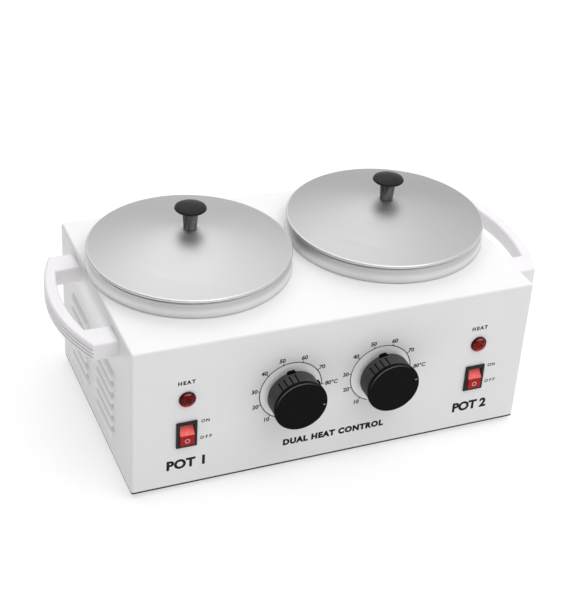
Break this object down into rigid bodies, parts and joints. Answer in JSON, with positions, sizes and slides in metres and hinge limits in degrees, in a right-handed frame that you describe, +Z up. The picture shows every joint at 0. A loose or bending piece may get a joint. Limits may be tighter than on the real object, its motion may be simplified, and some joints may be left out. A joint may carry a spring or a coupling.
{
  "type": "double wax warmer",
  "caption": "Steel box with heated wells for lift-out aluminium wax pots, conical lids, thermostat dials, rocker switches, pilot lamps and side handles.",
  "frame": {"origin": "on the bench, under the middle of the whole object's box", "axes": "+Z up, the front panel with the dials faces -Y, X runs along the width with the left-hand pot at -X"},
  "size_m": [0.3638, 0.2014, 0.169],
  "materials": {
    "powder_coated_steel": "semi-gloss white powder coat on pressed steel",
    "zinc_plated_steel": "zinc-plated sheet, satin",
    "screw_steel": "bright zinc-plated screws and nuts",
    "foot_rubber": "matt black moulded rubber",
    "white_plastic": "white moulded heat-resistant plastic, satin",
    "well_aluminium": "spun aluminium, satin",
    "heater_steel": "steel-jacketed mica band, heat-dulled",
    "insulation_felt": "needled glass-fibre felt, off-white",
    "pot_aluminium": "spun aluminium with fine turning lines",
    "lid_aluminium": "spun aluminium lid with a satin face and a bright rolled edge",
    "knob_black": "black phenolic, semi-gloss",
    "dial_black": "black moulded plastic, glossy face and satin side",
    "shaft_steel": "turned steel",
    "thermostat_case": "cream heat-resistant moulding, matt",
    "capillary_copper": "drawn copper",
    "terminal_brass": "tinned brass",
    "switch_black": "black moulded plastic, fine texture",
    "rocker_red": "translucent red moulding, glossy",
    "lamp_ring_black": "dark moulded ring",
    "lamp_red": "faceted dark red lens",
    "wire_brown": "heat-resistant sleeve, brown",
    "wire_blue": "heat-resistant sleeve, blue",
    "wire_green": "heat-resistant sleeve, green"
  },
  "bodies": {
    "housing": {"base_plate": "zinc_plated_steel", "base_screws": "screw_steel", "capillary_left": "capillary_copper", "capillary_right": "capillary_copper", "earth_post": "terminal_brass", "foot_front_left": "foot_rubber", "foot_front_right": "foot_rubber", "foot_nuts": "screw_steel", "foot_rear_left": "foot_rubber", "foot_rear_right": "foot_rubber", "foot_screws": "screw_steel", "handle_left": "white_plastic", "handle_right": "white_plastic", "handle_screws": "screw_steel", "heater_band_left": "heater_steel", "heater_band_right": "heater_steel", "heater_clamp_screws": "screw_steel", "heating_well_left": "well_aluminium", "heating_well_right": "well_aluminium", "housing_shell": "powder_coated_steel", "inlet_nuts": "screw_steel", "inlet_pins": "terminal_brass", "inlet_screws": "screw_steel", "insulation_wrap_left": "insulation_felt", "insulation_wrap_right": "insulation_felt", "lamp_body_left": "lamp_ring_black", "lamp_body_right": "lamp_ring_black", "lamp_lens_left": "lamp_red", "lamp_lens_right": "lamp_red", "lamp_nuts": "switch_black", "power_inlet": "switch_black", "switch_body_left": "switch_black", "switch_body_right": "switch_black", "switch_terminals": "terminal_brass", "terminal_block": "thermostat_case", "terminal_screws": "screw_steel", "thermostat_body_left": "thermostat_case", "thermostat_body_right": "thermostat_case", "thermostat_bracket_left": "zinc_plated_steel", "thermostat_bracket_right": "zinc_plated_steel", "thermostat_screws": "screw_steel", "thermostat_terminals": "terminal_brass", "well_screws": "screw_steel", "wiring_earth": "wire_green", "wiring_live": "wire_brown", "wiring_neutral": "wire_blue"},
    "pot_left": {"wax_pot_left": "pot_aluminium"},
    "lid_left": {"lid_left": "lid_aluminium", "lid_knob_left": "knob_black", "lid_screw_left": "screw_steel"},
    "dial_left": {"thermostat_knob_left": "dial_black", "thermostat_shaft_left": "shaft_steel"},
    "rocker_left": {"rocker_left": "rocker_red"},
    "pot_right": {"wax_pot_right": "pot_aluminium"},
    "lid_right": {"lid_right": "lid_aluminium", "lid_knob_right": "knob_black", "lid_screw_right": "screw_steel"},
    "dial_right": {"thermostat_knob_right": "dial_black", "thermostat_shaft_right": "shaft_steel"},
    "rocker_right": {"rocker_right": "rocker_red"}
  },
  "joints": [
    {"name": "pot_left_lift", "type": "slide", "parent": "housing", "child": "pot_left", "axis": [0, 0, 1], "range_m": [0, 0.13]},
    {"name": "lid_left_lift", "type": "slide", "parent": "pot_left", "child": "lid_left", "axis": [0, 0, 1], "range_m": [0, 0.06]},
    {"name": "dial_left_turn", "type": "hinge", "parent": "housing", "child": "dial_left", "pos_m": [-0.035, -0.08075, 0.069], "axis": [0, -1, 0], "range_deg": [-8, 253]},
    {"name": "rocker_left_press", "type": "hinge", "parent": "housing", "child": "rocker_left", "pos_m": [-0.1108, -0.08075, 0.0487], "axis": [1, 0, 0], "range_deg": [0, 30]},
    {"name": "pot_right_lift", "type": "slide", "parent": "housing", "child": "pot_right", "axis": [0, 0, 1], "range_m": [0, 0.13]},
    {"name": "lid_right_lift", "type": "slide", "parent": "pot_right", "child": "lid_right", "axis": [0, 0, 1], "range_m": [0, 0.06]},
    {"name": "dial_right_turn", "type": "hinge", "parent": "housing", "child": "dial_right", "pos_m": [0.035, -0.08075, 0.069], "axis": [0, -1, 0], "range_deg": [-28, 233]},
    {"name": "rocker_right_press", "type": "hinge", "parent": "housing", "child": "rocker_right", "pos_m": [0.1108, -0.08075, 0.0487], "axis": [1, 0, 0], "range_deg": [0, 30]}
  ]
}
